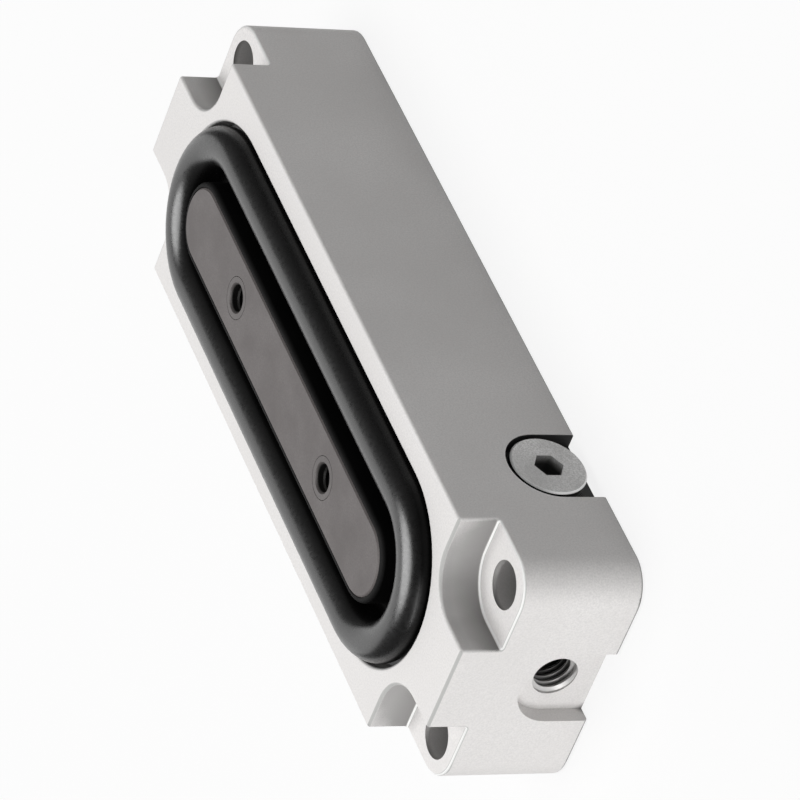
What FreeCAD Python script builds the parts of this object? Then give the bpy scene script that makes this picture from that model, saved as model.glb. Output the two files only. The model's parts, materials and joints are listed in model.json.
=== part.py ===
"""Diaphragm cylinder: a flat block with a stadium-shaped rubber rolling diaphragm.

Compressed air enters a shallow chamber through a port in the block's end.
It pushes out a long narrow plunger, and the diaphragm's roll unrolls with it.
Frame, in millimetres: the origin is the centre of the flat back face.
+X points to the end with the open port, +Y to the side with the plugged port,
and +Z is the direction of the stroke.

Every stadium on the part (opening, roll, plates, frame) shares one spine:
a straight line along X whose two ends are the centres of the round ends.
A radius below is a distance from that spine, unless it names a hole.
"""
import FreeCAD
import Part
import Sketcher
import os
from math import atan2, hypot, pi

# Driving sizes in millimetres: name, value, what it is.
SIZES = (
    ("spine_length", 44.0, "distance between the centres of the round ends"),
    ("plate_radius", 3.55, "half width of the pressure plate"),
    ("rim_width", 0.55, "rubber rim round the pressure plate"),
    ("valley_width", 1.35, "gap between the rim and the roll"),
    ("roll_radius", 1.95, "outside radius of the roll's section"),
    ("rubber_thickness", 0.9, "wall of the roll and the valley"),
    ("opening_gap", 0.35, "gap between the roll and the opening's edge"),
    ("side_wall", 2.8, "block wall beside the opening"),
    ("end_wall", 6.8, "block wall past the ends of the opening"),
    ("corner_radius", 3.4, "upright corners of the block"),
    ("edge_break", 0.3, "broken edges of the block"),
    ("hole_edge", 3.5, "mounting hole axis from the end and from the side"),
    ("hole_radius", 2.15, "mounting hole"),
    ("pocket_size", 7.9, "screw pocket from the end and from the side"),
    ("pocket_depth", 3.9, "screw pocket from the front face"),
    ("floor_thickness", 9.7, "block under the air chamber"),
    ("plunger_gap", 0.65, "plunger above the chamber's floor at rest"),
    ("bush_flange_thickness", 0.9, "flange of a thread bush"),
    ("backing_thickness", 1.4, "plate on the air side of the rubber"),
    ("web_thickness", 1.75, "rubber between the two plates"),
    ("plate_thickness", 3.0, "plate on the front of the rubber"),
    ("plate_stand", 1.9, "pressure plate above the block's front face"),
    ("plate_edge_break", 0.15, "broken top edge of the pressure plate"),
    ("rim_drop", 0.1, "rubber rim below the top of the pressure plate"),
    ("rim_round", 0.4, "rounded outside of the rim's top"),
    ("flange_thickness", 1.1, "diaphragm's clamped flange"),
    ("leg_thickness", 1.1, "diaphragm's upright leg above the flange"),
    ("leg_clearance", 0.1, "leg inside the clamp frame"),
    ("frame_wall", 1.25, "clamp frame, across"),
    ("frame_recess", 2.1, "clamp frame below the block's front face"),
    ("backing_radius", 4.3, "half width of the backing plate"),
    ("bush_spacing", 24.0, "distance between the two thread bushes"),
    ("bush_radius", 1.95, "shank of a thread bush"),
    ("bush_flange_radius", 3.2, "flange of a thread bush"),
    ("bush_bore_radius", 1.25, "core hole of a bush, M3"),
    ("bush_bore_depth", 5.5, "core hole of a bush"),
    ("bush_drill_point", 0.9, "drill point at the bottom of the bush's bore"),
    ("bush_mouth_break", 0.2, "countersink at the mouth of the bush's bore"),
    ("fit_clearance", 0.05, "between parts pressed or bonded together"),
    ("port_height", 4.1, "axis of the ports above the back face"),
    ("port_radius", 2.1, "core hole of the ports, M5"),
    ("port_recess_radius", 4.0, "spot face round a port"),
    ("port_recess_depth", 1.5, "spot face round a port"),
    ("port_overrun", 1.5, "port bore past the axis of its passage"),
    ("side_port_inset", 14.7, "side port from the end with the open port"),
    ("passage_radius", 1.25, "passage from a port up to the chamber"),
    ("passage_inset", 0.7, "passage inside the diaphragm's leg"),
    ("plug_head_radius", 3.55, "head of the blanking plug"),
    ("plug_shank_length", 4.0, "thread of the blanking plug"),
    ("plug_edge_break", 0.15, "broken edge of the plug's head"),
    ("socket_flats", 2.5, "hexagon socket across its flats"),
    ("socket_depth", 1.8, "hexagon socket from the top of the head"),
    ("seal_radius", 3.6, "outside of the plug's seal ring"),
    ("seal_thickness", 0.6, "plug's seal ring"),
    ("cut_overrun", 1.0, "cuts run this far past the block"),
)

# Sizes that follow from the driving ones: name, formula.
FOLLOWING = (
    ("spine_half", "Sizes.spine_length / 2"),
    ("boss_radius", "Sizes.plate_radius + Sizes.rim_width"),
    ("roll_inside", "boss_radius + Sizes.valley_width"),
    ("valley_middle", "boss_radius + Sizes.valley_width / 2"),
    ("crest_radius", "roll_inside + Sizes.roll_radius"),
    ("opening_radius", "crest_radius + Sizes.roll_radius + Sizes.opening_gap"),
    ("half_width", "opening_radius + Sizes.side_wall"),
    ("half_length", "spine_half + opening_radius + Sizes.end_wall"),
    ("corner_x", "half_length - Sizes.corner_radius"),
    ("corner_y", "half_width - Sizes.corner_radius"),
    ("hole_x", "half_length - Sizes.hole_edge"),
    ("hole_y", "half_width - Sizes.hole_edge"),
    ("pocket_x", "half_length - Sizes.pocket_size"),
    ("pocket_y", "half_width - Sizes.pocket_size"),
    ("pocket_radius", "Sizes.pocket_size - Sizes.hole_edge"),
    ("pocket_reach", "sqrt((hole_x - spine_half) ^ 2 + hole_y ^ 2) - pocket_radius"),
    ("edge_radius", "min(Sizes.edge_break; (pocket_reach - opening_radius) / 3)"),
    ("outside_x", "half_length + Sizes.cut_overrun"),
    ("outside_y", "half_width + Sizes.cut_overrun"),
    ("bush_bottom", "Sizes.floor_thickness + Sizes.plunger_gap"),
    ("backing_bottom", "bush_bottom + Sizes.bush_flange_thickness"),
    ("backing_top", "backing_bottom + Sizes.backing_thickness"),
    ("plate_bottom", "backing_top + Sizes.web_thickness"),
    ("plate_top", "plate_bottom + Sizes.plate_thickness"),
    ("front", "plate_top - Sizes.plate_stand"),
    ("chamber_depth", "front - Sizes.floor_thickness"),
    ("rim_top", "plate_top - Sizes.rim_drop"),
    ("rim_curve", "min(Sizes.rim_round; Sizes.rim_width - 2 * Sizes.fit_clearance)"),
    ("rim_shoulder", "boss_radius - rim_curve"),
    ("rim_side", "rim_top - rim_curve"),
    ("valley_level", "backing_top + Sizes.rubber_thickness + Sizes.valley_width / 2"),
    ("flange_top", "Sizes.floor_thickness + Sizes.flange_thickness"),
    ("flange_radius", "opening_radius - Sizes.fit_clearance"),
    ("frame_top", "front - Sizes.frame_recess"),
    ("frame_inside", "opening_radius - Sizes.frame_wall"),
    ("leg_outside", "frame_inside - Sizes.leg_clearance"),
    ("leg_inside", "leg_outside - Sizes.leg_thickness"),
    ("roll_bore", "Sizes.roll_radius - Sizes.rubber_thickness"),
    ("roll_back", "roll_inside + Sizes.rubber_thickness"),
    ("neck_outside", "front - sqrt(Sizes.roll_radius ^ 2 - (leg_outside - crest_radius) ^ 2)"),
    ("neck_inside", "front - sqrt(roll_bore ^ 2 - (leg_inside - crest_radius) ^ 2)"),
    ("recess_radius", "Sizes.plate_radius + Sizes.fit_clearance"),
    ("bush_x", "Sizes.bush_spacing / 2"),
    ("bush_hole_radius", "Sizes.bush_radius + Sizes.fit_clearance"),
    ("bush_mouth_size", "min(Sizes.bush_mouth_break; (Sizes.bush_radius - Sizes.bush_bore_radius) / 2)"),
    ("bush_mouth_radius", "Sizes.bush_bore_radius + bush_mouth_size"),
    ("bush_mouth_bottom", "plate_top - bush_mouth_size"),
    ("bush_bore_bottom", "plate_top - Sizes.bush_bore_depth"),
    ("bush_bore_point", "bush_bore_bottom - Sizes.bush_drill_point"),
    ("passage_x", "spine_half + leg_inside - Sizes.passage_inset - Sizes.passage_radius"),
    ("passage_y", "leg_inside - Sizes.passage_inset - Sizes.passage_radius"),
    ("end_port_depth", "half_length - passage_x + Sizes.port_overrun"),
    ("side_port_depth", "half_width - passage_y + Sizes.port_overrun"),
    ("passage_depth", "Sizes.floor_thickness - Sizes.port_height"),
    ("side_port_x", "half_length - Sizes.side_port_inset"),
    ("side_recess_low", "side_port_x - Sizes.port_recess_radius"),
    ("side_recess_high", "side_port_x + Sizes.port_recess_radius"),
    ("plug_seat_y", "half_width - Sizes.port_recess_depth"),
    ("plug_head_top", "Sizes.port_recess_depth"),
    ("plug_head_side", "plug_head_top - Sizes.plug_edge_break"),
    ("plug_face_radius", "Sizes.plug_head_radius - Sizes.plug_edge_break"),
    ("plug_shank_radius", "Sizes.port_radius - Sizes.fit_clearance"),
    ("plug_shank_end", "-Sizes.plug_shank_length"),
    ("seal_hole_radius", "Sizes.port_radius + Sizes.fit_clearance"),
    ("socket_half_flats", "Sizes.socket_flats / 2"),
    ("socket_corner", "Sizes.socket_flats / sqrt(3)"),
    ("socket_half_corner", "Sizes.socket_flats / (2 * sqrt(3))"),
)

doc = FreeCAD.newDocument("diaphragm_cylinder")


def make_sheet(name, rows, mark):
    """Fills one sheet with a row for each size: what it is, and the aliased value."""
    sheet = doc.addObject("Spreadsheet::Sheet", name)
    for row, (alias, value, *note) in enumerate(rows, start=1):
        sheet.set(f"A{row}", note[0] if note else alias)
        sheet.set(f"B{row}", f"{mark}{value}")
        sheet.setAlias(f"B{row}", alias)
    doc.recompute()
    return sheet


sizes = make_sheet("Sizes", SIZES, "")
following = make_sheet("Following", FOLLOWING, "=")
DRIVING = {row[0] for row in SIZES}

# Places closer than this, in millimetres, are the same place.
NEAR = 1e-4


def cell(alias):
    """The expression that reads a size."""
    return f"Sizes.{alias}" if alias in DRIVING else f"Following.{alias}"


def number(alias):
    """The value of a size now, "0" and a leading minus sign included."""
    if alias == "0":
        return 0.0
    if alias.startswith("-"):
        return -number(alias[1:])
    sheet = sizes if alias in DRIVING else following
    return float(sheet.get(alias))


def signed(sign, alias):
    """The same size on either side of an axis."""
    return alias if sign > 0 else "-" + alias


class Outline:
    """Draws closed outlines and circles in a sketch, each corner tied to named sizes."""

    def __init__(self, body, name, plane, level=None):
        self.sketch = body.newObject("Sketcher::SketchObject", name)
        origin = next(f for f in body.Origin.OriginFeatures if f.Role == plane)
        self.sketch.AttachmentSupport = (origin, [""])
        self.sketch.MapMode = "FlatFace"
        if level:
            sign = "-" if level.startswith("-") else ""
            self.sketch.setExpression("AttachmentOffset.Base.z", sign + cell(level.lstrip("-")))

    def tie(self, point, along, alias):
        """Ties one coordinate of a point to a size."""
        if alias == "0":
            other_axis = -2 if along == "X" else -1
            self.sketch.addConstraint(Sketcher.Constraint("PointOnObject", *point, other_axis))
            return
        origin = (-1, 1)
        ends = (point, origin) if number(alias) < 0 else (origin, point)
        rule = Sketcher.Constraint("Distance" + along, *ends[0], *ends[1], abs(number(alias)))
        index = self.sketch.addConstraint(rule)
        name = alias.lstrip("-")
        flip = "-" if (number(alias) < 0) != alias.startswith("-") else ""
        self.sketch.setExpression(f"Constraints[{index}]", flip + cell(name))

    def tie_corner(self, point, x, y):
        self.tie(point, "X", x)
        self.tie(point, "Y", y)

    def line(self, start, end):
        """A straight side; returns its start and end points."""
        side = Part.LineSegment(*[FreeCAD.Vector(number(x), number(y)) for x, y in (start, end)])
        index = self.sketch.addGeometry(side)
        return (index, 1), (index, 2)

    def arc(self, start, centre, end, turn):
        """A round side, anticlockwise if turn is positive; returns its start and end points."""
        cx, cy = number(centre[0]), number(centre[1])
        first, last = (start, end) if turn > 0 else (end, start)
        angles = [atan2(number(y) - cy, number(x) - cx) for x, y in (first, last)]
        if angles[1] <= angles[0]:
            angles[1] += 2 * pi
        radius = hypot(number(start[0]) - cx, number(start[1]) - cy)
        circle = Part.Circle(FreeCAD.Vector(cx, cy), FreeCAD.Vector(0, 0, 1), radius)
        index = self.sketch.addGeometry(Part.ArcOfCircle(circle, *angles))
        flat_chord = abs(number(end[0]) - number(start[0])) > abs(number(end[1]) - number(start[1]))
        along = 1 if flat_chord else 0
        self.tie((index, 3), "XY"[along], centre[along])
        return ((index, 1), (index, 2)) if turn > 0 else ((index, 2), (index, 1))

    def closed(self, start, *sides):
        """A closed outline. A side is its end corner, or (centre, end corner, turn) if it is round."""
        here = start
        ends = []
        for side in sides:
            if len(side) == 3:
                centre, corner, turn = side
                ends.append(self.arc(here, centre, corner, turn))
            else:
                corner = side
                ends.append(self.line(here, corner))
            here = corner
            self.tie_corner(ends[-1][1], *corner)
        for before, after in zip(ends[-1:] + ends[:-1], ends):
            self.sketch.addConstraint(Sketcher.Constraint("Coincident", *before[1], *after[0]))

    def stadium(self, radius):
        """A stadium about the spine."""
        left, right, low = "-spine_half", "spine_half", "-" + radius
        self.closed(
            (left, low),
            (right, low),
            ((right, "0"), (right, radius), 1),
            (left, radius),
            ((left, "0"), (left, low), 1),
        )

    def circle(self, x, y, radius):
        """A circle for a hole or a disc."""
        centre = FreeCAD.Vector(number(x), number(y))
        index = self.sketch.addGeometry(Part.Circle(centre, FreeCAD.Vector(0, 0, 1), number(radius)))
        self.tie_corner((index, 3), x, y)
        rule = self.sketch.addConstraint(Sketcher.Constraint("Radius", index, number(radius)))
        self.sketch.setExpression(f"Constraints[{rule}]", cell(radius))


def new_body(name):
    body = doc.addObject("PartDesign::Body", name)
    body.Label = name
    return body


def feature(body, kind, name, outline, reverse=False, **lengths):
    """A pad, pocket or revolution of an outline, its lengths tied to named sizes."""
    made = body.newObject("PartDesign::" + kind, name)
    made.Profile = outline.sketch
    made.Reversed = reverse
    for prop, expression in lengths.items():
        made.setExpression(prop, expression)
    doc.recompute()
    return made


def cut(body, name, outline, depth, reverse=False):
    """A pocket that has to take material away."""
    before = body.Shape.Volume
    made = feature(body, "Pocket", name, outline, reverse, Length=depth)
    if body.Shape.Volume >= before:
        raise RuntimeError(f"{name} cuts nothing")
    return made


def revolve(body, name, outline, angle, reverse=False):
    """Turns an outline about the upright axis of its sketch."""
    made = body.newObject("PartDesign::Revolution", name)
    made.Profile = outline.sketch
    made.ReferenceAxis = (outline.sketch, ["V_Axis"])
    made.Angle = angle
    made.Reversed = reverse
    doc.recompute()
    return made


def mirror(body, name, original, plane):
    """A mirror copy of a feature in one of the body's own planes."""
    made = body.newObject("PartDesign::Mirrored", name)
    made.Originals = [original]
    origin = next(f for f in body.Origin.OriginFeatures if f.Role == plane)
    made.MirrorPlane = (origin, [""])
    body.Tip = made
    doc.recompute()
    return made


def break_edges(body, kind, name, size, chosen):
    """Rounds or chamfers the edges of a body that a test picks out."""
    base = body.Tip
    names = [f"Edge{index}" for index, edge in enumerate(base.Shape.Edges, start=1) if chosen(edge)]
    made = body.newObject("PartDesign::" + kind, name)
    made.Base = (base, names)
    made.setExpression("Radius" if kind == "Fillet" else "Size", cell(size))
    doc.recompute()
    return made


def level_of(edge):
    """The height of an edge that lies flat, or None."""
    box = edge.BoundBox
    return box.ZMin if box.ZLength < NEAR else None


def is_open_at(edge, *levels):
    """Whether an edge, other than a full circle, lies flat at one of these heights."""
    height = level_of(edge)
    if height is None or edge.isClosed():
        return False
    return any(abs(height - level) < NEAR for level in levels)


def make_housing():
    """The block, with its chamber, screw pockets, ports and passages."""
    body = new_body("housing")
    block = Outline(body, "block_outline", "XY_Plane")
    right, left, top, bottom = "half_length", "-half_length", "half_width", "-half_width"
    cx, cy = "corner_x", "corner_y"
    block.closed(
        ("-" + cx, bottom),
        (cx, bottom),
        ((cx, "-" + cy), (right, "-" + cy), 1),
        (right, cy),
        ((cx, cy), (cx, top), 1),
        ("-" + cx, top),
        (("-" + cx, cy), (left, cy), 1),
        (left, "-" + cy),
        (("-" + cx, "-" + cy), ("-" + cx, bottom), 1),
    )
    feature(body, "Pad", "block", block, Length=cell("front"))

    chamber = Outline(body, "chamber_outline", "XY_Plane", "front")
    chamber.stadium("opening_radius")
    cut(body, "chamber", chamber, cell("chamber_depth"))

    pockets = Outline(body, "screw_pocket_outlines", "XY_Plane", "front")
    for side_x in (1, -1):
        for side_y in (1, -1):
            out_x, out_y = signed(side_x, "outside_x"), signed(side_y, "outside_y")
            in_x, in_y = signed(side_x, "pocket_x"), signed(side_y, "pocket_y")
            axis_x, axis_y = signed(side_x, "hole_x"), signed(side_y, "hole_y")
            pockets.closed(
                (in_x, out_y),
                (in_x, axis_y),
                ((axis_x, axis_y), (axis_x, in_y), side_x * side_y),
                (out_x, in_y),
                (out_x, out_y),
                (in_x, out_y),
            )
    cut(body, "screw_pockets", pockets, cell("pocket_depth"))

    pocket_floor = number("front") - number("pocket_depth")

    def is_block_edge(edge):
        if level_of(edge) is not None:
            return is_open_at(edge, 0.0, pocket_floor, number("front"))
        foot = edge.BoundBox
        on_end = abs(abs(foot.Center.x) - number("half_length")) < NEAR
        on_side = abs(abs(foot.Center.y) - number("half_width")) < NEAR
        return (on_end or on_side) and abs(foot.ZMin - pocket_floor) < NEAR

    break_edges(body, "Fillet", "broken_edges", "edge_radius", is_block_edge)

    holes = Outline(body, "mounting_hole_outlines", "XY_Plane", "front")
    for side_x in (1, -1):
        for side_y in (1, -1):
            holes.circle(signed(side_x, "hole_x"), signed(side_y, "hole_y"), "hole_radius")
    cut(body, "mounting_holes", holes, cell("front"))

    end_recess = ("-port_recess_radius", "0", "port_recess_radius")
    make_port(body, "end", ("YZ_Plane", "half_length"), end_recess, "end_port_depth")
    side_recess = ("side_recess_low", "side_port_x", "side_recess_high")
    make_port(body, "side", ("XZ_Plane", "-half_width"), side_recess, "side_port_depth", True)

    passages = Outline(body, "passage_outlines", "XY_Plane", "floor_thickness")
    passages.circle("passage_x", "0", "passage_radius")
    passages.circle("side_port_x", "passage_y", "passage_radius")
    cut(body, "passages", passages, cell("passage_depth"))
    return body


def make_port(body, name, face, across, depth, reverse=False):
    """A port: a spot face that runs out through the back edge, and the thread's core hole."""
    low, middle, high = across
    recess = Outline(body, f"{name}_recess_outline", *face)
    recess.closed(
        (low, "-cut_overrun"),
        (high, "-cut_overrun"),
        (high, "port_height"),
        ((middle, "port_height"), (low, "port_height"), 1),
        (low, "-cut_overrun"),
    )
    cut(body, f"{name}_port_recess", recess, cell("port_recess_depth"), reverse)
    bore = Outline(body, f"{name}_bore_outline", *face)
    bore.circle(middle, "port_height", "port_radius")
    cut(body, f"{name}_port_bore", bore, cell(depth), reverse)


def make_diaphragm():
    """The moulded rubber: clamped flange, upright leg, roll, valley and centre boss."""
    body = new_body("diaphragm")
    section = Outline(body, "section", "YZ_Plane", "spine_half")
    roll_centre = ("crest_radius", "front")
    valley_centre = ("valley_middle", "valley_level")
    section.closed(
        ("0", "plate_bottom"),
        ("recess_radius", "plate_bottom"),
        ("recess_radius", "rim_top"),
        ("rim_shoulder", "rim_top"),
        (("rim_shoulder", "rim_side"), ("boss_radius", "rim_side"), -1),
        ("boss_radius", "valley_level"),
        (valley_centre, ("roll_inside", "valley_level"), 1),
        ("roll_inside", "front"),
        (roll_centre, ("leg_outside", "neck_outside"), -1),
        ("leg_outside", "flange_top"),
        ("flange_radius", "flange_top"),
        ("flange_radius", "floor_thickness"),
        ("leg_inside", "floor_thickness"),
        ("leg_inside", "neck_inside"),
        (roll_centre, ("roll_back", "front"), 1),
        ("roll_back", "valley_level"),
        (valley_centre, ("valley_middle", "backing_top"), -1),
        ("0", "backing_top"),
        ("0", "plate_bottom"),
    )
    straight = feature(body, "Pad", "straight_side", section, True, Length=cell("spine_length"))
    mirror(body, "other_straight_side", straight, "XZ_Plane")
    end = revolve(body, "round_end", section, 180, True)
    mirror(body, "other_round_end", end, "YZ_Plane")
    holes = Outline(body, "bush_hole_outlines", "XY_Plane", "plate_bottom")
    for side in (1, -1):
        holes.circle(signed(side, "bush_x"), "0", "bush_hole_radius")
    cut(body, "bush_holes", holes, cell("web_thickness"))
    return body


def make_clamp_frame():
    """The frame pressed into the opening, which holds the flange down."""
    body = new_body("clamp_frame")
    ring = Outline(body, "ring_outline", "XY_Plane", "flange_top")
    ring.stadium("opening_radius")
    ring.stadium("frame_inside")
    feature(body, "Pad", "ring", ring, Length=f"{cell('frame_top')} - {cell('flange_top')}")
    return body


def make_plate(name, radius, level, thickness):
    """A stadium plate with holes for the two thread bushes."""
    body = new_body(name)
    plate = Outline(body, f"{name}_outline", "XY_Plane", level)
    plate.stadium(radius)
    for side in (1, -1):
        plate.circle(signed(side, "bush_x"), "0", "bush_hole_radius")
    feature(body, "Pad", f"{name}_pad", plate, Length=cell(thickness))
    return body


def make_pressure_plate():
    """The plate on the front, with its top edge broken."""
    body = make_plate("pressure_plate", "plate_radius", "plate_bottom", "plate_thickness")
    top = number("plate_top")
    break_edges(body, "Chamfer", "broken_edge", "plate_edge_break", lambda edge: is_open_at(edge, top))
    return body


def make_thread_bush(name, side):
    """A blind bush that holds the two plates and the rubber between them together."""
    body = new_body(name)
    section = Outline(body, f"{name}_section", "XZ_Plane")
    section.closed(
        ("0", "bush_bottom"),
        ("bush_flange_radius", "bush_bottom"),
        ("bush_flange_radius", "backing_bottom"),
        ("bush_radius", "backing_bottom"),
        ("bush_radius", "plate_top"),
        ("bush_mouth_radius", "plate_top"),
        ("bush_bore_radius", "bush_mouth_bottom"),
        ("bush_bore_radius", "bush_bore_bottom"),
        ("0", "bush_bore_point"),
        ("0", "bush_bottom"),
    )
    revolve(body, f"{name}_turned", section, 360)
    body.setExpression("Placement.Base.x", f"{side} * {cell('bush_x')}")
    return body


def seat_in_side_port(body):
    """Turns a piece's own upright axis to the side port's axis, and sets it on the spot face."""
    body.Placement = FreeCAD.Placement(FreeCAD.Vector(), FreeCAD.Rotation(FreeCAD.Vector(1, 0, 0), -90))
    body.setExpression("Placement.Base.x", cell("side_port_x"))
    body.setExpression("Placement.Base.y", cell("plug_seat_y"))
    body.setExpression("Placement.Base.z", cell("port_height"))


def make_blanking_plug():
    """The screw that closes the side port, flush with the block's side."""
    body = new_body("blanking_plug")
    section = Outline(body, "plug_section", "XZ_Plane")
    section.closed(
        ("0", "plug_shank_end"),
        ("plug_shank_radius", "plug_shank_end"),
        ("plug_shank_radius", "seal_thickness"),
        ("plug_head_radius", "seal_thickness"),
        ("plug_head_radius", "plug_head_side"),
        ("plug_face_radius", "plug_head_top"),
        ("0", "plug_head_top"),
        ("0", "plug_shank_end"),
    )
    revolve(body, "plug_turned", section, 360)
    socket = Outline(body, "socket_outline", "XY_Plane", "plug_head_top")
    flat, tip, half = "socket_half_flats", "socket_corner", "socket_half_corner"
    socket.closed(
        ("0", "-" + tip),
        (flat, "-" + half),
        (flat, half),
        ("0", tip),
        ("-" + flat, half),
        ("-" + flat, "-" + half),
        ("0", "-" + tip),
    )
    cut(body, "socket", socket, cell("socket_depth"))
    seat_in_side_port(body)
    return body


def make_plug_seal_ring():
    """The flat ring under the plug's head."""
    body = new_body("plug_seal_ring")
    ring = Outline(body, "seal_outline", "XY_Plane")
    ring.circle("0", "0", "seal_radius")
    ring.circle("0", "0", "seal_hole_radius")
    feature(body, "Pad", "seal", ring, Length=cell("seal_thickness"))
    seat_in_side_port(body)
    return body


def check(parts):
    """Stops if anything failed to build."""
    for thing in doc.Objects:
        if {"Invalid", "Error"} & set(thing.State):
            raise RuntimeError(f"{thing.Name} failed: {thing.State}")
    for body in parts:
        shape = body.Shape
        if shape.isNull() or not shape.isValid() or len(shape.Solids) != 1:
            raise RuntimeError(f"{body.Label} is not one sound solid")


def main():
    parts = [
        make_housing(),
        make_diaphragm(),
        make_clamp_frame(),
        make_pressure_plate(),
        make_plate("backing_plate", "backing_radius", "backing_bottom", "backing_thickness"),
        make_thread_bush("thread_bush_port_end", 1),
        make_thread_bush("thread_bush_far_end", -1),
        make_blanking_plug(),
        make_plug_seal_ring(),
    ]
    doc.recompute()
    check(parts)
    os.makedirs("parts", exist_ok=True)
    for body in parts:
        body.Shape.exportStep(f"parts/{body.Label}.step")
        box = body.Shape.BoundBox
        low, high = (box.XMin, box.YMin, box.ZMin), (box.XMax, box.YMax, box.ZMax)
        corners = [tuple(round(value, 3) for value in corner) for corner in (low, high)]
        print(body.Label, round(body.Shape.Volume, 3), *corners)


main()
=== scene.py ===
"""The looks of the diaphragm cylinder: moulded rubber, threads, finishes, light and camera.

Sizes are written in millimetres and become metres where a mesh is made.
A radius in a section is a distance from the spine, the straight line along X
that every stadium on the part is drawn around.
"""
import bpy
import json
from functools import reduce
from math import acos, cos, degrees, pi, radians, sin, sqrt
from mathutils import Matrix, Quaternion, Vector


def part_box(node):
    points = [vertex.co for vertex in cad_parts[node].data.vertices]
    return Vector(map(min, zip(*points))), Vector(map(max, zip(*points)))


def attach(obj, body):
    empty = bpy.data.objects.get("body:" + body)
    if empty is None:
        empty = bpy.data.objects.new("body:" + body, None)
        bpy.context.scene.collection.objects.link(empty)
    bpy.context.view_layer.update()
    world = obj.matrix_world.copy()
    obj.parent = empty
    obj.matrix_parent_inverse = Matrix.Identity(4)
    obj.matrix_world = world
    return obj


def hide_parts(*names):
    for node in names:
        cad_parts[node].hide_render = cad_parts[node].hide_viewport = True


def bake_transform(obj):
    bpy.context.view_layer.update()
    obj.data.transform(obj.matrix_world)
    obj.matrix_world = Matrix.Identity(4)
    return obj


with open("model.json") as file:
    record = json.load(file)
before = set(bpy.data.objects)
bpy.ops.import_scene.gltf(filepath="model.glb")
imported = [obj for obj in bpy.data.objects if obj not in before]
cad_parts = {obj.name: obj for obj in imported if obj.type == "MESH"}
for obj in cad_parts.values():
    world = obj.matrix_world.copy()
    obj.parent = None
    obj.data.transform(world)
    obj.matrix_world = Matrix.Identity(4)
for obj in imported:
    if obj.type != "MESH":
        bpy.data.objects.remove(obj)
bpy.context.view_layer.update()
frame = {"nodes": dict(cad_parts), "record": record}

MM = 0.001


def extent(node):
    """A node's lowest and highest corners, in millimetres."""
    low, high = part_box(node)
    return low / MM, high / MM


def mount(name):
    """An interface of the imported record."""
    return next(row for row in frame["record"]["mounts"] if row["name"] == name)


def offset(base, steps):
    """Places along an axis that lie some steps away from a base."""
    return [base + step for step in steps]


# Sizes that the frame gives.
BLOCK_HIGH = extent("housing")[1]
FRONT = BLOCK_HIGH.z
PLATE_LOW, PLATE_HIGH = extent("pressure_plate")
BACKING_TOP = extent("backing_plate")[1].z
CLAMP_LOW, CLAMP_HIGH = extent("clamp_frame")
RUBBER_LOW, RUBBER_HIGH = extent("diaphragm")
PLUG_LOW, PLUG_HIGH = extent("blanking_plug")
PLUG = (PLUG_LOW + PLUG_HIGH) / 2
PLUG_FACE = PLUG_HIGH.y
PLATE_RADIUS = PLATE_HIGH.y
SPINE_HALF = PLATE_HIGH.x - PLATE_RADIUS
ROLL_RADIUS = RUBBER_HIGH.z - FRONT
FLANGE_RADIUS = RUBBER_HIGH.y
END_PORT = mount("end_port")
PLATE_THREADS = mount("plate_threads")

# Recesses that the boxes don't give: the ports' spot faces, with the wall round the plug, the plug's
# socket and the screw pockets.
RECESS_DEPTH = 1.5
SEAT_RADIUS = 4.05
SOCKET_REACH = 1.8
POCKET_DEPTH = 3.9
POCKET_FLOOR = FRONT - POCKET_DEPTH
PORT_MOUTH = BLOCK_HIGH.x - RECESS_DEPTH

# Sizes of the rubber's section that the boxes don't give.
RIM_WIDTH = 0.55
RIM_DROP = 0.1
RIM_ROUND = 0.4
FIT = 0.05
VALLEY_WIDTH = 1.35
WALL = 0.9
FRAME_WALL = 1.25
LEG_CLEARANCE = 0.1
LEG_THICKNESS = 1.1
BUSH_ROOM = 2.05

BOSS_RADIUS = PLATE_RADIUS + RIM_WIDTH
RIM_INSIDE = PLATE_RADIUS + FIT
RIM_TOP = PLATE_HIGH.z - RIM_DROP
VALLEY_RADIUS = VALLEY_WIDTH / 2
VALLEY = (BOSS_RADIUS + VALLEY_RADIUS, BACKING_TOP + WALL + VALLEY_RADIUS)
ROLL = (BOSS_RADIUS + VALLEY_WIDTH + ROLL_RADIUS, FRONT)
ROLL_BORE = ROLL_RADIUS - WALL
LEG_OUTSIDE = CLAMP_HIGH.y - FRAME_WALL - LEG_CLEARANCE
LEG_INSIDE = LEG_OUTSIDE - LEG_THICKNESS

# Mesh density: degrees between points on an arc, and steps round an end of the stadium.
ARC_STEP = 6.0
END_STEPS = 64


def straight(*corners):
    """Straight sides of an outline, which runs with the rubber on its right."""
    sides = []
    for (r0, z0), (r1, z1) in zip(corners, corners[1:]):
        length = sqrt((r1 - r0) ** 2 + (z1 - z0) ** 2)
        normal = ((z0 - z1) / length, (r1 - r0) / length)
        sides.append(((r0, z0), (r1, z1), normal, normal))
    return sides


def arc(centre, radius, first, last):
    """A round stretch of an outline between two angles; hollow where the angle grows."""
    steps = max(2, round(abs(last - first) / ARC_STEP))
    angles = [radians(first + (last - first) * step / steps) for step in range(steps + 1)]
    outward = 1 if last < first else -1
    rays = [(cos(angle), sin(angle)) for angle in angles]
    points = [(centre[0] + radius * r, centre[1] + radius * z) for r, z in rays]
    normals = [(outward * r, outward * z) for r, z in rays]
    return list(zip(points, points[1:], normals, normals[1:]))


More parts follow.
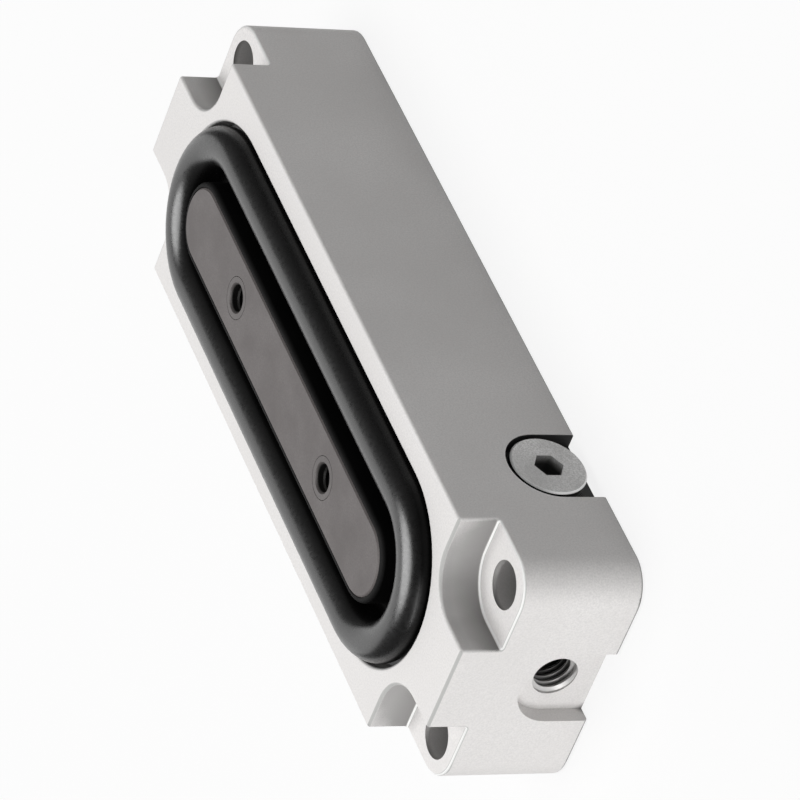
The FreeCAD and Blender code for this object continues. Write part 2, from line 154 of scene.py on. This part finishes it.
def outer_outline():
    """Flange, leg and the outer half of the roll."""
    neck = -degrees(acos((LEG_OUTSIDE - ROLL[0]) / ROLL_RADIUS))
    inner_neck = -degrees(acos((LEG_INSIDE - ROLL[0]) / ROLL_BORE))
    roll = arc(ROLL, ROLL_RADIUS, 90, neck)
    bore = arc(ROLL, ROLL_BORE, inner_neck, 90)
    leg = straight(
        roll[-1][1],
        (LEG_OUTSIDE, CLAMP_LOW.z),
        (FLANGE_RADIUS, CLAMP_LOW.z),
        (FLANGE_RADIUS, RUBBER_LOW.z),
        (LEG_INSIDE, RUBBER_LOW.z),
        bore[0][0],
    )
    return roll + leg + bore + straight(bore[-1][1], roll[0][0])


def inner_outline():
    """The inner half of the roll, its wall and the outer half of the valley."""
    valley = arc(VALLEY, VALLEY_RADIUS, -90, 0)
    roll = arc(ROLL, ROLL_RADIUS, 180, 90)
    bore = arc(ROLL, ROLL_BORE, 90, 180)
    under = arc(VALLEY, VALLEY_RADIUS + WALL, 0, -90)
    return (
        straight(under[-1][1], valley[0][0])
        + valley
        + straight(valley[-1][1], roll[0][0])
        + roll
        + straight(roll[-1][1], bore[0][0])
        + bore
        + straight(bore[-1][1], under[0][0])
        + under
    )


def boss_outline():
    """The rim round the pressure plate, the web under it and the inner half of the valley."""
    outside = arc((BOSS_RADIUS - RIM_ROUND, RIM_TOP - RIM_ROUND), RIM_ROUND, 90, 0)
    valley = arc(VALLEY, VALLEY_RADIUS, 180, 270)
    return (
        straight(
            (VALLEY[0], BACKING_TOP),
            (BUSH_ROOM, BACKING_TOP),
            (BUSH_ROOM, PLATE_LOW.z),
            (RIM_INSIDE, PLATE_LOW.z),
            (RIM_INSIDE, RIM_TOP),
            outside[0][0],
        )
        + outside
        + straight(outside[-1][1], valley[0][0])
        + valley
        + straight(valley[-1][1], (VALLEY[0], BACKING_TOP))
    )


def new_object(name, points, faces):
    """A mesh object from points in millimetres."""
    mesh = bpy.data.meshes.new(name)
    mesh.from_pydata([Vector(point) * MM for point in points], [], faces)
    mesh.shade_smooth()
    made = bpy.data.objects.new(name, mesh)
    bpy.context.scene.collection.objects.link(made)
    return made


def stadium_sweep(name, outline):
    """Carries a closed outline round the spine, with the outline's own normals."""
    turns = [-pi / 2 + pi * step / END_STEPS for step in range(END_STEPS + 1)]
    stations = [(SPINE_HALF, turn) for turn in turns] + [(-SPINE_HALF, turn + pi) for turn in turns]
    count, around = len(outline), len(stations)

    def at(station, radius, height):
        centre, turn = stations[station]
        return Vector((centre + radius * cos(turn), radius * sin(turn), height))

    def facing(station, normal):
        turn = stations[station][1]
        return Vector((normal[0] * cos(turn), normal[0] * sin(turn), normal[1]))

    points = [at(station, *side[0]) for side in outline for station in range(around)]
    faces, normals = [], []
    for row, (_, _, first, last) in enumerate(outline):
        below, above = row * around, (row + 1) % count * around
        for here in range(around):
            there = (here + 1) % around
            faces.append((below + here, above + here, above + there, below + there))
            normals += [facing(here, first), facing(here, last)]
            normals += [facing(there, last), facing(there, first)]
    made = new_object(name, points, faces)
    made.data.normals_split_custom_set(normals)
    return made


# Threads: pitch and height of the ridges, their turns and the side of the bore on which they start.
PORT_PITCH = 0.67
PORT_RIDGE = 0.32
PORT_TURNS = 9
PORT_SIDE = (0, 0.61, -0.79)
BUSH_PITCH = 0.5
BUSH_RIDGE = 0.15
BUSH_TURNS = 8
BUSH_SIDE = (1, 0, 0)
# How far the bushes' ridges start below the plate.
BUSH_START = 0.5
# A ridge: steps in a turn, depth in the wall, root and crest as shares of the pitch, turns in which
# an end fades out, and the angle above which an edge is sharp.
RIDGE_STEPS = 40
RIDGE_SINK = 0.03
RIDGE_ROOT = 0.84
RIDGE_CREST = 0.16
RIDGE_FADE = 0.2
SHARP_ANGLE = 30


def thread(name, mouth, inward, start, radius, pitch, height, turns):
    """A closed ridge that winds down a bore from a starting side, faded out at both ends."""
    axis = Vector(inward)
    side = Vector(start).normalized()
    other = axis.cross(side)
    stations = turns * RIDGE_STEPS
    points = []
    for station in range(stations + 1):
        turn = station / RIDGE_STEPS
        angle = 2 * pi * turn
        ray = side * cos(angle) + other * sin(angle)
        fade = min(1.0, turn / RIDGE_FADE, (turns - turn) / RIDGE_FADE)
        middle = Vector(mouth) + axis * pitch * (turn + RIDGE_ROOT / 2)
        wall = radius + RIDGE_SINK
        crest = wall - (height + RIDGE_SINK) * fade
        section = (
            (wall, -RIDGE_ROOT),
            (crest, -RIDGE_CREST),
            (crest, RIDGE_CREST),
            (wall, RIDGE_ROOT),
        )
        points += [middle + ray * distance + axis * pitch * along / 2 for distance, along in section]
    ring = len(section)
    faces = [tuple(range(ring)), tuple(reversed(range(stations * ring, stations * ring + ring)))]
    for station in range(stations):
        here, there = station * ring, (station + 1) * ring
        for corner in range(ring):
            after = (corner + 1) % ring
            faces.append((here + corner, there + corner, there + after, here + after))
    made = new_object(name, points, faces)
    made.data.set_sharp_from_angle(angle=radians(SHARP_ANGLE))
    return made


# Noise: the middle of its range, and the detail of fine grain and of broad clouds.
NOISE_LOW, NOISE_HIGH = 0.3, 0.7
GRAIN_DETAIL = 3.0
CLOUD_DETAIL = 2.0

# Soft edge of a box mask.
MASK_EDGE = 0.05

WHITE = (1, 1, 1)


class Shader:
    """A material with one Principled shader, and the nodes that feed it."""

    def __init__(self, name, **values):
        self.material = bpy.data.materials.new(name)
        self.material.use_nodes = True
        self.tree = self.material.node_tree
        self.main = self.tree.nodes["Principled BSDF"]
        for socket, value in values.items():
            self.main.inputs[socket.replace("_", " ")].default_value = value
        self.place = self.node("ShaderNodeTexCoord").outputs["Object"]

    def node(self, kind, **inputs):
        """A node with its inputs set, or linked where the value is another node's socket."""
        made = self.tree.nodes.new(kind)
        for name, value in inputs.items():
            socket = made.inputs[name.replace("_", " ")]
            if isinstance(value, bpy.types.NodeSocket):
                self.tree.links.new(value, socket)
            else:
                socket.default_value = value
        return made

    def noise(self, size, detail):
        """Noise with blotches of about this size in millimetres."""
        made = self.node("ShaderNodeTexNoise", Vector=self.place, Scale=1 / (size * MM), Detail=detail)
        return made.outputs["Fac"]

    def remap(self, value, first, last, low, high):
        """Maps a value between two limits to other numbers."""
        ends = {"From_Min": first, "From_Max": last, "To_Min": low, "To_Max": high}
        return self.node("ShaderNodeMapRange", Value=value, **ends).outputs["Result"]

    def ramp(self, value, first, last):
        """0 up to the first limit and 1 from the last one on."""
        return self.remap(value, first, last, 0, 1)

    def spread(self, value, low, high):
        """Maps the middle of a noise's range to other numbers."""
        return self.remap(value, NOISE_LOW, NOISE_HIGH, low, high)

    def along(self, axis, first, last):
        """0 up to one place along an axis, in millimetres, and 1 from another one on."""
        place = self.node("ShaderNodeSeparateXYZ", Vector=self.place)
        return self.ramp(place.outputs[axis], first * MM, last * MM)

    def gaps(self, reach, open_from, closed_from, own=False):
        """1 deep in gaps narrower than about this reach in millimetres, 0 in the open.

        With own set, only the solid's own faces close a gap.
        """
        made = self.node("ShaderNodeAmbientOcclusion", Distance=reach * MM)
        made.only_local = own
        return self.ramp(made.outputs["AO"], open_from, closed_from)

    def math(self, operation, *values):
        """The result of a named operation on one or two values."""
        made = self.node("ShaderNodeMath")
        made.operation = operation
        for value, socket in zip(values, made.inputs):
            self.tree.links.new(value, socket)
        return made.outputs["Value"]

    def product(self, *values):
        """All the values multiplied."""
        return reduce(lambda first, second: self.math("MULTIPLY", first, second), values)

    def facing(self, axis):
        """1 where the surface looks along an axis, either way, and 0 where it lies along it."""
        normal = self.node("ShaderNodeTexCoord").outputs["Normal"]
        return self.math("ABSOLUTE", self.node("ShaderNodeSeparateXYZ", Vector=normal).outputs[axis])

    def inside(self, low, high):
        """1 inside a box given by its corners in millimetres, and 0 outside it."""
        sides = []
        for axis, first, last in zip("XYZ", low, high):
            sides.append(self.along(axis, first - MASK_EDGE, first))
            sides.append(self.along(axis, last + MASK_EDGE, last))
        return self.product(*sides)

    def mix(self, factor, first, second):
        """A colour between two others."""
        made = self.node("ShaderNodeMix")
        made.data_type = "RGBA"
        self.tree.links.new(factor, made.inputs["Factor"])
        for name, colour in (("A", first), ("B", second)):
            socket = next(s for s in made.inputs if s.name == name and s.type == "RGBA")
            if isinstance(colour, bpy.types.NodeSocket):
                self.tree.links.new(colour, socket)
            else:
                socket.default_value = (*colour, 1)
        return next(s for s in made.outputs if s.type == "RGBA")

    def feed(self, socket, value):
        """Links a value to an input of the shader."""
        self.tree.links.new(value, self.main.inputs[socket])

    def bump(self, height, depth, strength):
        """Raises the surface by up to a depth in millimetres."""
        made = self.node("ShaderNodeBump", Height=height, Strength=strength, Distance=depth * MM)
        self.feed("Normal", made.outputs["Normal"])


# Blasted aluminium: its grain and clouds, the painted shade on its end edges, pocket walls, holes and seams,
# and the painted highlight at its pockets' feet.
BLOCK_GRAIN = 0.16
BLOCK_CLOUD = 9.0
BLOCK_DARK = (0.718, 0.703, 0.694)
BLOCK_PALE = (0.84, 0.822, 0.811)
BLOCK_CLOUDED = (0.758, 0.74, 0.728)
BLOCK_CLOUDING = 0.5
BLOCK_ROUGHNESS = (0.62, 0.72)
END_EDGE_SHADE = (0.45, 0.45, 0.44)
POCKET_FOOT_HIGHLIGHT = (0.92, 0.92, 0.91)
POCKET_SIDE_SHADE = (0.6, 0.59, 0.582)
POCKET_END_SHADE = (0.4, 0.392, 0.387)
POCKET_LOW_SHADE = (0.26, 0.255, 0.25)
HOLE_SHADE = (0.33, 0.326, 0.322)
SEAM_SHADE = (0.02, 0.02, 0.02)

# How far a surface looks along an axis where one of these tones starts and where it is full.
END_EDGE_LEAN = (0.1, 0.35)
FOOT_LEAN = (0.4, 0.55)
FOOT_LEVEL = (0.95, 0.85)
WALL_LEAN = (0.45, 0.25)
WALL_ENDWAYS = (0.2, 0.8)

# Heights over the pockets' floor: their start, their foot with its painted highlight, and where the painted
# shade on their walls is darkest.
POCKET_START = (-0.5, 0)
FOOT_HEIGHT = (1.0, 0.8)
WALL_DARKEST = 0.3
# How far below the front the painted shade on the walls starts.
WALL_DARKENS = 1.2

# Gaps: their reach, and how open they are where the painted shade starts and where it is full.
POCKET_GAP = (6.0, 0.97, 0.87)
HOLE_GAP = (8.0, 0.35, 0.05)
SEAM_GAP = (1.2, 0.5, 0.15)


def aluminium():
    """Fine blasted, clear anodised aluminium, with painted shade on its end edges, pocket walls, holes and
    seams and a painted highlight at its pockets' feet.
    """
    made = Shader("blasted_aluminium", Metallic=0.2)
    grain = made.noise(BLOCK_GRAIN, GRAIN_DETAIL)
    cloud = made.noise(BLOCK_CLOUD, CLOUD_DETAIL)
    endways, level = made.facing("X"), made.facing("Z")
    tone = made.mix(made.spread(grain, 0, 1), BLOCK_DARK, BLOCK_PALE)
    tone = made.mix(made.spread(cloud, 0, BLOCK_CLOUDING), tone, BLOCK_CLOUDED)
    # Painted shade on the rounded edges that lean between the end and the front.
    tone = made.mix(made.ramp(made.product(endways, level), *END_EDGE_LEAN), tone, END_EDGE_SHADE)
    pockets = made.along("Z", *offset(POCKET_FLOOR, POCKET_START))
    # Painted highlight along the rounded foot of the pockets' walls.
    foot = made.along("Z", *offset(POCKET_FLOOR, FOOT_HEIGHT))
    leaning = made.product(made.ramp(level, *FOOT_LEAN), made.ramp(level, *FOOT_LEVEL))
    tone = made.mix(made.product(pockets, foot, leaning), tone, POCKET_FOOT_HIGHLIGHT)
    # Painted shade on the pockets' walls, darker where they face the end and towards the floor.
    upright = made.ramp(level, *WALL_LEAN)
    walls = made.product(pockets, upright, made.gaps(*POCKET_GAP, own=True))
    shade = made.mix(made.ramp(endways, *WALL_ENDWAYS), POCKET_SIDE_SHADE, POCKET_END_SHADE)
    low = made.along("Z", FRONT - WALL_DARKENS, POCKET_FLOOR + WALL_DARKEST)
    tone = made.mix(walls, tone, made.mix(low, shade, POCKET_LOW_SHADE))
    # Painted shade deep in the screw holes.
    tone = made.mix(made.gaps(*HOLE_GAP, own=True), tone, HOLE_SHADE)
    # Painted shade in narrow gaps, such as round the rubber, and in the recess round the plug.
    seat = made.inside(
        (PLUG.x - SEAT_RADIUS, PLUG_FACE - RECESS_DEPTH, 0),
        (PLUG.x + SEAT_RADIUS, PLUG_FACE - 2 * MASK_EDGE, PLUG.z + SEAT_RADIUS),
    )
    for dark in (made.gaps(*SEAM_GAP), seat):
        tone = made.mix(dark, tone, SEAM_SHADE)
    made.feed("Base Color", tone)
    made.feed("Roughness", made.spread(cloud, *BLOCK_ROUGHNESS))
    made.bump(grain, depth=0.02, strength=0.35)
    return made.material


# Moulded rubber: its grain and clouds, how far its roughness varies, and the painted shade on a flank's
# gloss.
RUBBER_IOR = 1.6
RUBBER_GRAIN = 0.35
RUBBER_CLOUD = 4.0
RUBBER_DARK = (0.003, 0.003, 0.003)
RUBBER_LIGHT = (0.006, 0.0057, 0.0057)
RUBBER_VARIES = (-0.04, 0.05)
FLANK_REFLECTION_SHADE = (0.04, 0.04, 0.04)
# Where the painted shade on the roll's gloss starts below its crest, and the height over the front where it
# is full.
FLANK_START = 0.3
FLANK_END = 0.6


def rubber(name, roughness, gloss, flank=None):
    """Moulded black rubber with a satin skin, and painted shade on its gloss down a flank between two
    heights.
    """
    made = Shader(name, Specular_IOR_Level=gloss, IOR=RUBBER_IOR)
    skin = made.noise(RUBBER_GRAIN, GRAIN_DETAIL)
    cloud = made.noise(RUBBER_CLOUD, CLOUD_DETAIL)
    made.feed("Base Color", made.mix(made.spread(cloud, 0, 1), RUBBER_DARK, RUBBER_LIGHT))
    made.feed("Roughness", made.spread(skin, *offset(roughness, RUBBER_VARIES)))
    if flank:
        # Painted shade on the gloss down the roll's flank.
        made.feed("Specular Tint", made.mix(made.along("Z", *flank), WHITE, FLANK_REFLECTION_SHADE))
    made.bump(skin, depth=0.006, strength=0.25)
    return made.material


# Steel: its grain and clouds, and how far its roughness varies.
STEEL_GRAIN = 0.14
STEEL_CLOUD = 3.5
STEEL_CLOUDING = 0.6
STEEL_VARIES = (-0.05, 0.05)
# How far a surface looks along a rim's axis where its chamfer and its flank start and are full.
CHAMFER_LEAN = (0.98, 0.9)
FLANK_LEAN = (0.5, 0.35)
# Painted shade inside bores and under edges, painted shade on the gloss there, and the plug's painted
# highlight on its chamfer and painted shade in its socket.
SHADE_BLACK = (0.03, 0.029, 0.028)
HOLLOW_REFLECTION_SHADE = (0.15, 0.15, 0.15)
PLUG_RIM_HIGHLIGHT = (0.88, 0.88, 0.87)
SOCKET_SHADE = (0.12, 0.12, 0.115)
# Where the painted shade in a bore or socket starts, from its mouth, and where it is full.
BUSH_DARKENS = (-0.02, -0.2)
SOCKET_DARKENS = (-0.3, -1.0)
PORT_DARKENS = (-0.5, -2.6)


def steel(name, dark, light, roughness, metallic, hollow=None, rim=None, deep=SHADE_BLACK):
    """Dull steel, which takes painted shade in the deep colour where it is hollow, on its gloss too: an axis
    and two places along it.

    A rim is an axis, the colour of the chamfer's painted highlight round it and the box of a socket, which
    has no rim of its own. The flanks outside that box, which look away from the axis, get painted shade in
    black.
    """
    made = Shader(name, Metallic=metallic)
    grain = made.noise(STEEL_GRAIN, GRAIN_DETAIL)
    cloud = made.noise(STEEL_CLOUD, CLOUD_DETAIL)
    tone = made.mix(made.spread(grain, 0, 1), dark, light)
    tone = made.mix(made.spread(cloud, 0, STEEL_CLOUDING), tone, dark)
    # Painted highlight on the chamfer, and painted shade in black on the flank, outside the socket.
    if rim:
        axis, bright, socket = rim
        level = made.facing(axis)
        edge = made.mix(made.ramp(level, *CHAMFER_LEAN), tone, bright)
        edge = made.mix(made.ramp(level, *FLANK_LEAN), edge, SHADE_BLACK)
        tone = made.mix(made.inside(*socket), edge, tone)
    # Painted shade down the bore or socket, on the colour and on the gloss.
    if hollow:
        inner = made.along(*hollow)
        tone = made.mix(inner, tone, deep)
        made.feed("Specular Tint", made.mix(inner, WHITE, HOLLOW_REFLECTION_SHADE))
    made.feed("Base Color", tone)
    made.feed("Roughness", made.spread(cloud, *offset(roughness, STEEL_VARIES)))
    made.bump(grain, depth=0.008, strength=0.3)
    return made.material


# The port's cut ridges: their colour, and the painted shade in their grooves.
CUT_RIDGE = (0.7, 0.69, 0.68)
CUT_GROOVE_SHADE = (0.06, 0.06, 0.058)
CUT_GAP = (0.5, 0.85, 0.5)


def cut_thread():
    """Bright cut ridges with painted shade in their grooves, which goes black down the bore from its mouth.
    """
    made = Shader("cut_aluminium", Metallic=0.3, Roughness=0.42)
    # Painted shade in the grooves between the ridges.
    tone = made.mix(made.gaps(*CUT_GAP, own=True), CUT_RIDGE, CUT_GROOVE_SHADE)
    # Painted shade down the bore from its mouth, on the colour and on the gloss.
    inner = made.along("X", *offset(PORT_MOUTH, PORT_DARKENS))
    made.feed("Base Color", made.mix(inner, tone, SHADE_BLACK))
    made.feed("Specular Tint", made.mix(inner, WHITE, HOLLOW_REFLECTION_SHADE))
    return made.material


def dress(node, material):
    """Gives a solid of the frame a finish."""
    solid = frame["nodes"][node]
    for place in solid.material_slots:
        place.material = material


# Share of the roll's radius, below its middle, for a height that the script works out but doesn't use.
ROLL_STILL = 0.75


def make_rubber(skin, dull):
    """The diaphragm: the outer part and the roll stay, and the boss rides the plunger."""
    crest = RUBBER_HIGH.z
    still = ROLL[1] - ROLL_RADIUS * ROLL_STILL
    valley_bottom = VALLEY[1] - VALLEY_RADIUS
    outer = stadium_sweep("diaphragm_outer", outer_outline())
    inner = stadium_sweep("diaphragm_inner", inner_outline())
    boss = stadium_sweep("diaphragm_boss", boss_outline())
    for piece, turning in ((outer, still), (inner, 2 * crest - valley_bottom)):
        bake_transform(piece)
    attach(boss, "plunger")
    for piece, material in ((outer, skin), (inner, skin), (boss, dull)):
        piece.data.materials.append(material)
        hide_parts("diaphragm")


def make_threads(cut, bush):
    """The ridges in the open port and in the two thread bushes."""
    half_bore = END_PORT["dims"]["length_mm"] / 2
    out = Vector(END_PORT["axis"])
    mouth = Vector(END_PORT["pos_m"]) / MM + out * (half_bore - RECESS_DEPTH)
    radius = END_PORT["dims"]["r_mm"]
    port = thread("port_thread", mouth, -out, PORT_SIDE, radius, PORT_PITCH, PORT_RIDGE, PORT_TURNS)
    port.data.materials.append(cut)
    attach(port, "body")
    out = Vector(PLATE_THREADS["axis"])
    radius = PLATE_THREADS["dims"]["hole_r_mm"]
    for name, side in (("bush_thread_port_end", 1), ("bush_thread_far_end", -1)):
        place = Vector((side * PLATE_THREADS["dims"]["spacing_x_mm"] / 2, 0, 0))
        mouth = Vector(PLATE_THREADS["pos_m"]) / MM + place - out * BUSH_START
        ridge = thread(name, mouth, -out, BUSH_SIDE, radius, BUSH_PITCH, BUSH_RIDGE, BUSH_TURNS)
        ridge.data.materials.append(bush)
        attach(ridge, "plunger")


# The camera, fitted to the photograph: place and aim, roll in degrees, lens and sensor.
CAMERA_PLACE = (334.07, 297.89, 236.35)
CAMERA_AIM = (4.80, 2.85, 8.0)
CAMERA_ROLL = -89.38
CAMERA_LENS = 250.95
SENSOR = 36.0
# Nearest and farthest that it sees, in metres.
CLIP_START = 0.01
CLIP_END = 20


def make_camera():
    """The camera at the photograph's viewing angle."""
    data = bpy.data.cameras.new("camera")
    data.lens = CAMERA_LENS
    data.sensor_width = SENSOR
    data.clip_start, data.clip_end = CLIP_START, CLIP_END
    camera = bpy.data.objects.new("camera", data)
    bpy.context.scene.collection.objects.link(camera)
    place, aim = Vector(CAMERA_PLACE) * MM, Vector(CAMERA_AIM) * MM
    camera.location = place
    camera.rotation_mode = "QUATERNION"
    roll = Quaternion((0, 0, 1), radians(CAMERA_ROLL))
    camera.rotation_quaternion = (aim - place).to_track_quat("-Z", "Y") @ roll
    bpy.context.scene.camera = camera


def seen_directly(tree):
    """1 for rays from the camera, and for what shines or shows through."""
    path = tree.nodes.new("ShaderNodeLightPath")
    value = path.outputs["Is Camera Ray"]
    for name in ("Is Glossy Ray", "Is Transmission Ray"):
        either = tree.nodes.new("ShaderNodeMath")
        either.operation = "MAXIMUM"
        tree.links.new(value, either.inputs[0])
        tree.links.new(path.outputs[name], either.inputs[1])
        value = either.outputs["Value"]
    return value


# The floor: half its width in metres, its drop below the block, its colour to the light that it sends
# back, its colour and share of glow where it is seen, and how far its dull patch stays inside the block.
FLOOR_HALF = 3.0
FLOOR_DROP = 0.02
FLOOR_COLOUR = (0.39, 0.39, 0.39, 1)
FLOOR_SEEN = (0.8, 0.8, 0.8, 1)
FLOOR_GLOW = 0.85
FOOTPRINT_INSET = 1.6


def glowing_floor():
    """Near white to the camera and in reflections, where a faint shadow is kept, and grey to other light."""
    material = bpy.data.materials.new("floor")
    material.use_nodes = True
    tree = material.node_tree
    tree.nodes.clear()

    def mixed(factor, first, second):
        made = tree.nodes.new("ShaderNodeMixShader")
        if isinstance(factor, float):
            made.inputs["Fac"].default_value = factor
        else:
            tree.links.new(factor, made.inputs["Fac"])
        tree.links.new(first, made.inputs[1])
        tree.links.new(second, made.inputs[2])
        return made.outputs["Shader"]

    def ground(colour):
        made = tree.nodes.new("ShaderNodeBsdfDiffuse")
        made.inputs["Color"].default_value = colour
        return made.outputs["BSDF"]

    glow = tree.nodes.new("ShaderNodeEmission").outputs["Emission"]
    pale = mixed(FLOOR_GLOW, ground(FLOOR_SEEN), glow)
    output = tree.nodes.new("ShaderNodeOutputMaterial")
    tree.links.new(mixed(seen_directly(tree), ground(FLOOR_COLOUR), pale), output.inputs["Surface"])
    return material


def make_floor():
    """A plain pale floor; the patch under the block doesn't glow."""
    reach = FLOOR_HALF / MM
    under_x, under_y = BLOCK_HIGH.x - FOOTPRINT_INSET, BLOCK_HIGH.y - FOOTPRINT_INSET
    corners = ((-1, -1), (1, -1), (1, 1), (-1, 1))
    count = len(corners)
    outer = [(x * reach, y * reach, -FLOOR_DROP) for x, y in corners]
    inner = [(x * under_x, y * under_y, -FLOOR_DROP) for x, y in corners]
    faces = []
    for side in range(count):
        after = (side + 1) % count
        faces.append((side, after, count + after, count + side))
    faces.append(tuple(range(count, 2 * count)))
    floor = new_object("floor", outer + inner, faces)
    floor.data.materials.append(glowing_floor())
    floor.data.materials.append(Shader("floor_under_block", Base_Color=FLOOR_COLOUR, Roughness=1.0).material)
    floor.data.polygons[count].material_index = 1


# Strength of the light from all round.
AMBIENT = 0.1


def make_world():
    """Even soft light all round."""
    world = bpy.data.worlds.new("studio")
    bpy.context.scene.world = world
    world.use_nodes = True
    tree = world.node_tree
    tree.nodes.clear()
    soft = tree.nodes.new("ShaderNodeBackground")
    soft.inputs["Strength"].default_value = AMBIENT
    soft.inputs["Color"].default_value = (*WHITE, 1)
    output = tree.nodes.new("ShaderNodeOutputWorld")
    tree.links.new(soft.outputs["Background"], output.inputs["Surface"])


# Soft boxes: name, direction towards it, width and height in metres, watts.
LAMP_DISTANCE = 1.0
LAMPS = (
    ("overhead", (0.05, -0.06, 1.00), 1.00, 1.00, 9.8),
    ("rear", (-0.66, -0.62, 0.42), 1.20, 1.20, 3.1),
    ("end", (0.99, -0.10, 0.09), 0.90, 0.16, 6.1),
)


def make_lamps():
    """Round and flat soft boxes, all at one distance and turned to the block."""
    for name, direction, width, height, watts in LAMPS:
        data = bpy.data.lights.new(name, "AREA")
        data.shape = "ELLIPSE"
        data.size, data.size_y = width, height
        data.energy = watts
        lamp = bpy.data.objects.new(name, data)
        bpy.context.scene.collection.objects.link(lamp)
        out = Vector(direction).normalized()
        lamp.location = out * LAMP_DISTANCE
        lamp.rotation_mode = "QUATERNION"
        lamp.rotation_quaternion = (-out).to_track_quat("-Z", "Y")
        lamp.visible_camera = False


def main():
    """Dresses the solids, adds the rubber and the threads, and sets up the studio."""
    plate = steel(
        "ground_steel",
        dark=(0.105, 0.094, 0.092),
        light=(0.15, 0.135, 0.132),
        roughness=0.5,
        metallic=0.1,
    )
    bush = steel(
        "turned_steel",
        dark=(0.1, 0.09, 0.088),
        light=(0.142, 0.129, 0.127),
        roughness=0.42,
        metallic=0.2,
        # Painted shade down the bushes' bores.
        hollow=("Z", *offset(PLATE_HIGH.z, BUSH_DARKENS)),
    )
    reach = Vector((SOCKET_REACH, PLUG_FACE, SOCKET_REACH))
    plug = steel(
        "plated_steel",
        dark=(0.38, 0.375, 0.37),
        light=(0.69, 0.685, 0.68),
        roughness=0.4,
        metallic=0.5,
        # Painted shade down the socket, and a painted highlight and painted shade at the rim.
        hollow=("Y", *offset(PLUG_FACE, SOCKET_DARKENS)),
        rim=("Y", PLUG_RIM_HIGHLIGHT, (PLUG - reach, PLUG + reach)),
        deep=SOCKET_SHADE,
    )
    clamp = steel(
        "clamp_steel",
        dark=(0.3, 0.3, 0.3),
        light=(0.4, 0.4, 0.4),
        roughness=0.45,
        metallic=0.4,
    )
    dress("housing", aluminium())
    dress("pressure_plate", plate)
    dress("backing_plate", clamp)
    dress("clamp_frame", clamp)
    dress("thread_bush_port_end", bush)
    dress("thread_bush_far_end", bush)
    dress("blanking_plug", plug)
    dress("plug_seal_ring", rubber("seal_rubber", roughness=0.6, gloss=0.4))
    # Painted shade on the gloss down the roll's flank below its crest.
    flank = (RUBBER_HIGH.z - FLANK_START, FRONT + FLANK_END)
    skin = rubber("diaphragm_rubber", roughness=0.29, gloss=1.0, flank=flank)
    make_rubber(skin, rubber("diaphragm_boss_rubber", roughness=0.65, gloss=0.12))
    make_threads(cut_thread(), bush)
    make_floor()
    make_world()
    make_lamps()
    make_camera()
    bpy.context.scene.view_settings.view_transform = "Standard"


main()
